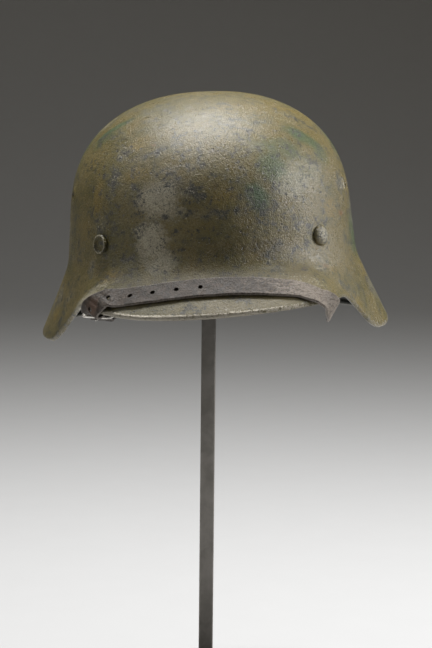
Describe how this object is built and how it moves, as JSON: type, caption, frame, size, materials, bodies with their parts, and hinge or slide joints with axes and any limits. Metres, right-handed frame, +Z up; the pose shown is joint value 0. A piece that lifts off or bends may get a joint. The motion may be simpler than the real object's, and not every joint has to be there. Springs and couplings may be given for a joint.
{
  "type": "steel combat helmet on display stand",
  "caption": "Pressed steel combat helmet with flared rim, side vents and a leather chin strap drawn over the visor, held up by a plain post stand.",
  "frame": {"origin": "middle of the underside of the stand's base, in line with the post", "axes": "+Z up, -Y towards the helmet's front, +X towards the viewer's right in front of it"},
  "size_m": [0.2399, 0.2885, 0.4374],
  "materials": {
    "painted_steel": "worn camouflage paint, fine rough texture, semi-gloss",
    "leather": "worn, cracked, dull",
    "bright_steel": "bright, scuffed",
    "dark_steel": "dark, worn",
    "stand_steel": "satin",
    "rubber": "matt"
  },
  "bodies": {
    "root": {"shell": "painted_steel", "rivet_front_right": "painted_steel", "rivet_front_left": "painted_steel", "rivet_rear": "painted_steel", "strap_long": "leather", "strap_short": "leather", "buckle_frame": "bright_steel", "buckle_prong": "bright_steel", "bale_right": "dark_steel", "bale_left": "dark_steel", "stand_post": "stand_steel", "stand_base": "stand_steel", "stand_pad": "rubber"}
  },
  "joints": []
}
